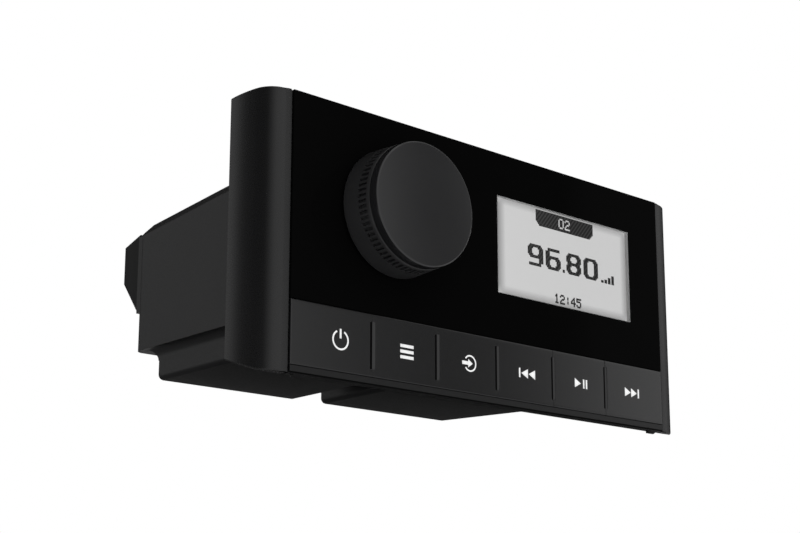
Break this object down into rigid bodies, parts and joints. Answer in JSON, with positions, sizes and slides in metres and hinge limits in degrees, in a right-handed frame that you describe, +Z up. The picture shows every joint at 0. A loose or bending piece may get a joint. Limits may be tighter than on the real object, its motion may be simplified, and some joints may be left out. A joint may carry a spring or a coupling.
{
  "type": "marine stereo",
  "caption": "Flush mounted marine stereo with a gloss front, display, a row of sprung keys, a turn-and-push knob, clip-on screw covers and a moulded chassis with a finned rear.",
  "frame": {"origin": "centre of the four panel screws, in the plane of the dashboard's front face", "axes": "+X to the right seen from the front, +Y into the dashboard, +Z up"},
  "size_m": [0.164, 0.0959, 0.0753],
  "materials": {
    "chassis_plastic": "fine moulded grain",
    "fascia_plastic": "fine moulded grain",
    "cover_plastic": "satin",
    "lens_black": "polished",
    "window_clear": "polished",
    "lcd_glass": "satin",
    "backlight_white": "diffusing",
    "lcd_holder": "moulded",
    "circuit_board": "lacquered",
    "key_plastic": "satin",
    "knob_plastic": "satin",
    "knob_face": "fine satin",
    "switch_plastic": "moulded",
    "rotor_plastic": "moulded",
    "plated_steel": "zinc plated",
    "foam_rubber": "closed cell foam",
    "black_aluminium": "black anodised",
    "chip_resin": "moulded",
    "capacitor_sleeve": "shrunk sleeve",
    "enamelled_wire": "enamelled",
    "cable_white": "moulded",
    "socket_plastic": "moulded",
    "pin_brass": "plated",
    "socket_metal": "nickel plated"
  },
  "bodies": {
    "unit": {"rear_housing": "chassis_plastic", "belly_left": "chassis_plastic", "belly_right": "chassis_plastic", "mounting_flange": "chassis_plastic", "fascia_frame": "fascia_plastic", "lens": "lens_black", "display_window": "window_clear", "screw_cover_left": "cover_plastic", "screw_cover_right": "cover_plastic", "panel_gasket": "foam_rubber", "heat_sink": "black_aluminium", "power_socket": "socket_plastic", "line_socket": "socket_plastic", "antenna_socket": "socket_metal", "lcd_panel": "lcd_glass", "lcd_frame": "lcd_holder", "backlight": "backlight_white", "front_board": "circuit_board", "key_switches": "switch_plastic", "encoder_body": "switch_plastic", "encoder_nut": "plated_steel", "push_dome": "plated_steel", "fascia_seal": "foam_rubber", "main_board": "circuit_board", "amplifier_chip": "chip_resin", "tuner_can": "plated_steel", "capacitors": "capacitor_sleeve", "choke": "enamelled_wire", "heat_sink_screws": "plated_steel", "ribbon_cable": "cable_white", "ribbon_sockets": "cable_white", "power_pins": "pin_brass", "line_pins": "pin_brass", "front_board_screws": "plated_steel", "main_board_screws": "plated_steel", "fascia_screws": "plated_steel"},
    "key_power": {"key_power": "key_plastic"},
    "key_menu": {"key_menu": "key_plastic"},
    "key_source": {"key_source": "key_plastic"},
    "key_previous": {"key_previous": "key_plastic"},
    "key_play": {"key_play": "key_plastic"},
    "key_next": {"key_next": "key_plastic"},
    "rotor": {"encoder_rotor": "rotor_plastic"},
    "knob": {"knob_grip": "knob_plastic", "knob_cap": "knob_face", "encoder_shaft": "plated_steel"}
  },
  "joints": [
    {"name": "power_press", "type": "slide", "parent": "unit", "child": "key_power", "axis": [0, 1, 0], "range_m": [0, 0.0006], "stiffness_N_per_m": 1500},
    {"name": "menu_press", "type": "slide", "parent": "unit", "child": "key_menu", "axis": [0, 1, 0], "range_m": [0, 0.0006], "stiffness_N_per_m": 1500},
    {"name": "source_press", "type": "slide", "parent": "unit", "child": "key_source", "axis": [0, 1, 0], "range_m": [0, 0.0006], "stiffness_N_per_m": 1500},
    {"name": "previous_press", "type": "slide", "parent": "unit", "child": "key_previous", "axis": [0, 1, 0], "range_m": [0, 0.0006], "stiffness_N_per_m": 1500},
    {"name": "play_press", "type": "slide", "parent": "unit", "child": "key_play", "axis": [0, 1, 0], "range_m": [0, 0.0006], "stiffness_N_per_m": 1500},
    {"name": "next_press", "type": "slide", "parent": "unit", "child": "key_next", "axis": [0, 1, 0], "range_m": [0, 0.0006], "stiffness_N_per_m": 1500},
    {"name": "knob_turn", "type": "hinge", "parent": "unit", "child": "rotor", "pos_m": [-0.03924, -0.0146, 0.01], "axis": [0, 1, 0], "continuous": true},
    {"name": "knob_push", "type": "slide", "parent": "rotor", "child": "knob", "axis": [0, 1, 0], "range_m": [0, 0.0005], "stiffness_N_per_m": 6000}
  ]
}
